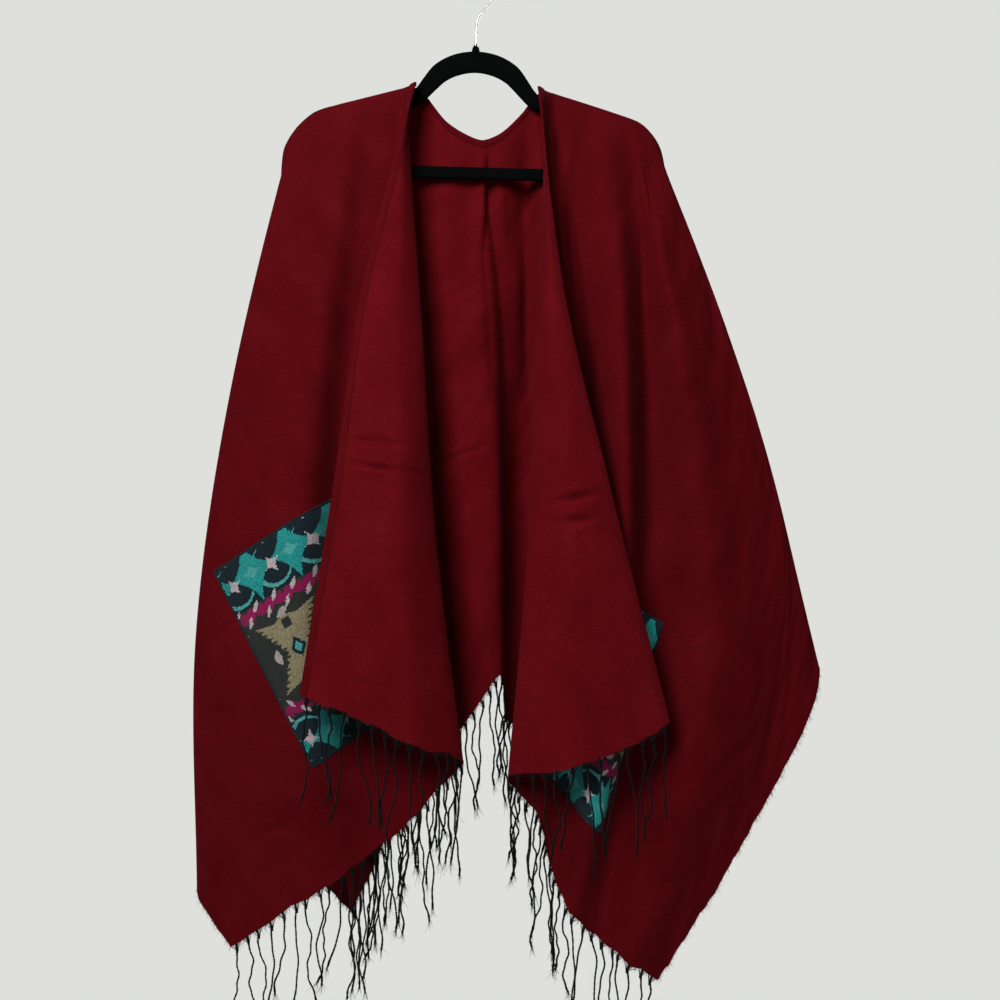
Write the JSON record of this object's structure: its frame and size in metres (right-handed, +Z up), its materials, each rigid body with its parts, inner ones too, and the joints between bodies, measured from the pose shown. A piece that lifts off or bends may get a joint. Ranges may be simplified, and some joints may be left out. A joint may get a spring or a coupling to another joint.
{
  "type": "open-front andean poncho on a velvet hanger",
  "caption": "Open-front wrap of one slit rectangle of brushed cloth with fringed ends, turned-back fronts and woven patch pockets, hung on a slim velvet hanger.",
  "frame": {"origin": "inside top of the hanger's hook, where a rail or a wall hook holds it up", "axes": "+Z up, -Y towards the viewer who faces the open front, +X to that viewer's right; left and right in names are the viewer's"},
  "size_m": [0.7882, 0.1752, 1.3948],
  "materials": {
    "burgundy_cloth": "brushed",
    "black_fringe": "twisted yarn",
    "woven_pocket": "jacquard weave",
    "black_velvet": "flocked velvet",
    "chrome": "polished"
  },
  "bodies": {
    "root": {"front_left": "burgundy_cloth", "front_right": "burgundy_cloth", "back": "burgundy_cloth", "fringe_front_left": "black_fringe", "fringe_front_right": "black_fringe", "fringe_back": "black_fringe", "pocket_left": "woven_pocket", "pocket_right": "woven_pocket", "hanger": "black_velvet", "hook": "chrome"}
  },
  "joints": []
}
